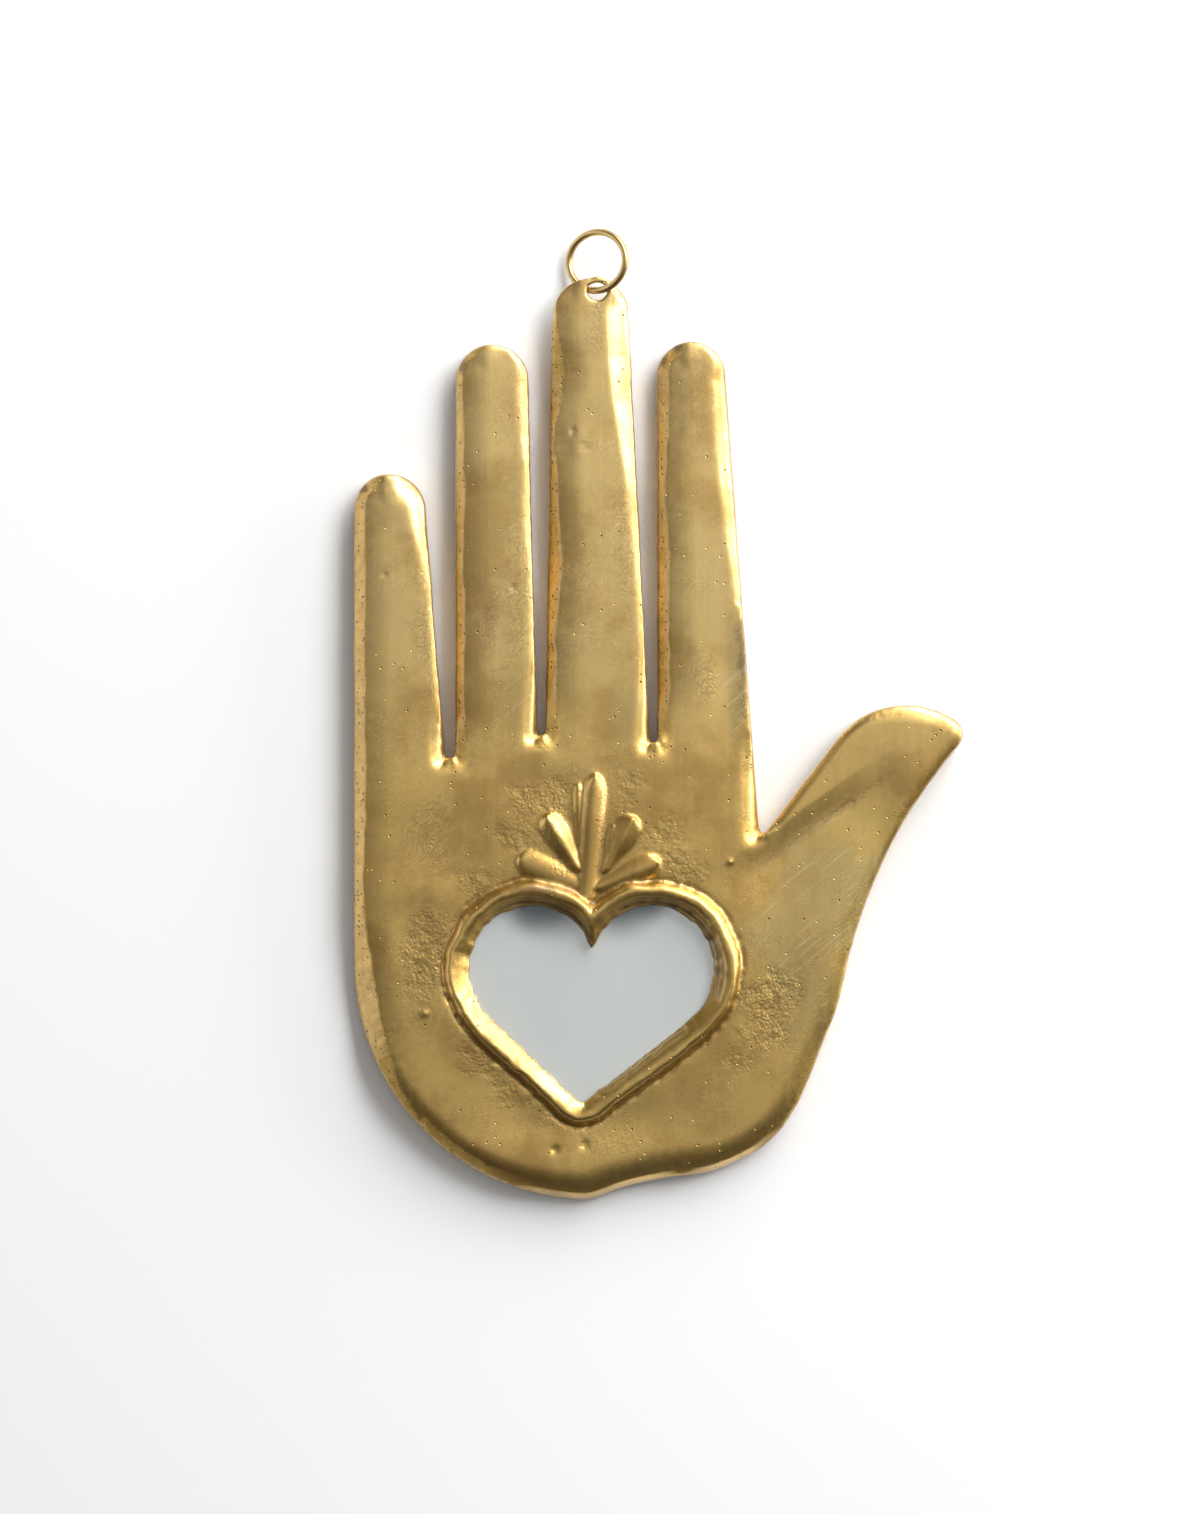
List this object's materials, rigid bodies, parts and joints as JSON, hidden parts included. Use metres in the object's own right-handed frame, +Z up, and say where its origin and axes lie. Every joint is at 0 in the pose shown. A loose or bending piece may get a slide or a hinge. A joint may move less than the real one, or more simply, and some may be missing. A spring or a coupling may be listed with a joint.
{
  "type": "hamsa hand ornament",
  "caption": "Cast brass open-hand wall ornament with a heart-shaped mirror set in the palm behind a raised rim, a flame of petals above it, hung from a wire ring in the middle fingertip.",
  "frame": {"origin": "on the wall plane, on the axis of a nail that carries the hanging ring, where the nail meets the inside of the ring's top", "axes": "+Z up, towards the fingertips; +Y into the wall, so the palm faces -Y; +X towards the thumb"},
  "size_m": [0.1526, 0.012, 0.2432],
  "materials": {
    "cast_brass": "sand cast, face polished by hand, worn and pitted",
    "wire_brass": "drawn wire, dulled",
    "silvered_glass": "silvered behind",
    "grey_card": "grey pulp board, uncoated",
    "black_paint": "satin black on sheet steel",
    "zinc_steel": "zinc plated"
  },
  "bodies": {
    "ring": {"hanging_ring": "wire_brass"},
    "hand": {"hand_casting": "cast_brass", "mirror_glass": "silvered_glass", "backing_card": "grey_card", "back_plate": "black_paint", "back_plate_screws": "zinc_steel"}
  },
  "joints": [
    {"name": "hand_swing", "type": "hinge", "parent": "ring", "child": "hand", "pos_m": [0, -0.0062, -0.01372], "axis": [0, 1, 0], "range_deg": [-110, 110]}
  ]
}
